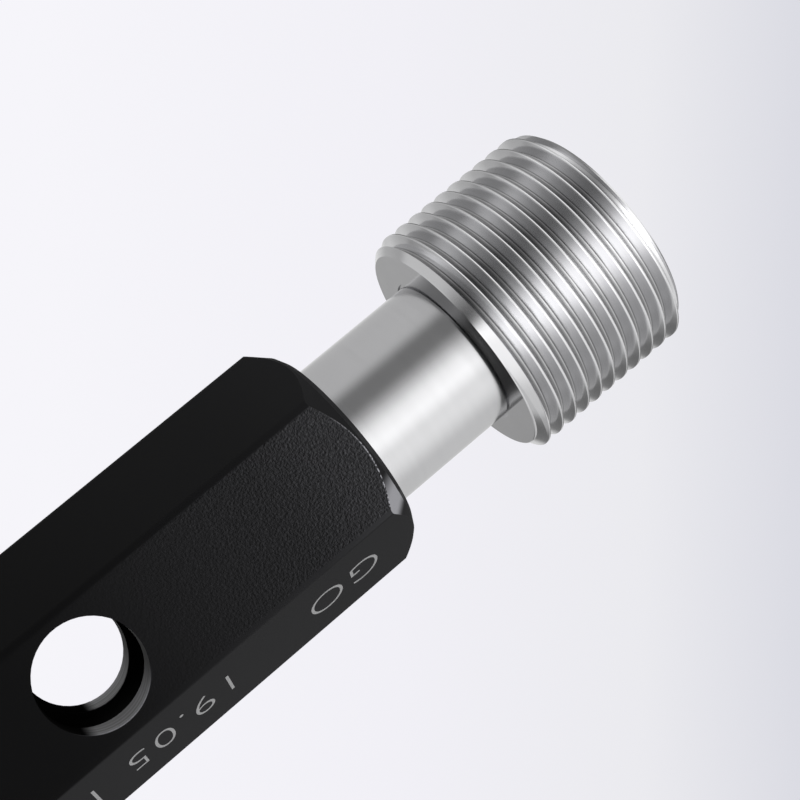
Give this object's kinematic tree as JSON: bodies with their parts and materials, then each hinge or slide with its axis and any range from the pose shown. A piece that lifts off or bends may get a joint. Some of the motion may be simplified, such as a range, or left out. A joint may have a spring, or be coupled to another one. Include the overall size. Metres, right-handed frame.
{
  "type": "thread plug gauge",
  "caption": "Double-ended thread plug gauge: a long GO head and a short NO-GO head on tapered steel members, locked into a black hexagonal handle.",
  "frame": {"origin": "centre of the NO-GO member's flat front face, on which the gauge stands", "axes": "+Z along the gauge axis towards the GO end; -Y is the normal of the handle's front flat, which both drift holes pass through"},
  "size_m": [0.019, 0.019, 0.1292],
  "materials": {
    "handle_black": "fine blasted, black anodised",
    "gauge_steel": "hardened, ground and lapped"
  },
  "bodies": {
    "root": {"handle": "handle_black", "go_member": "gauge_steel", "no_go_member": "gauge_steel"}
  },
  "joints": []
}
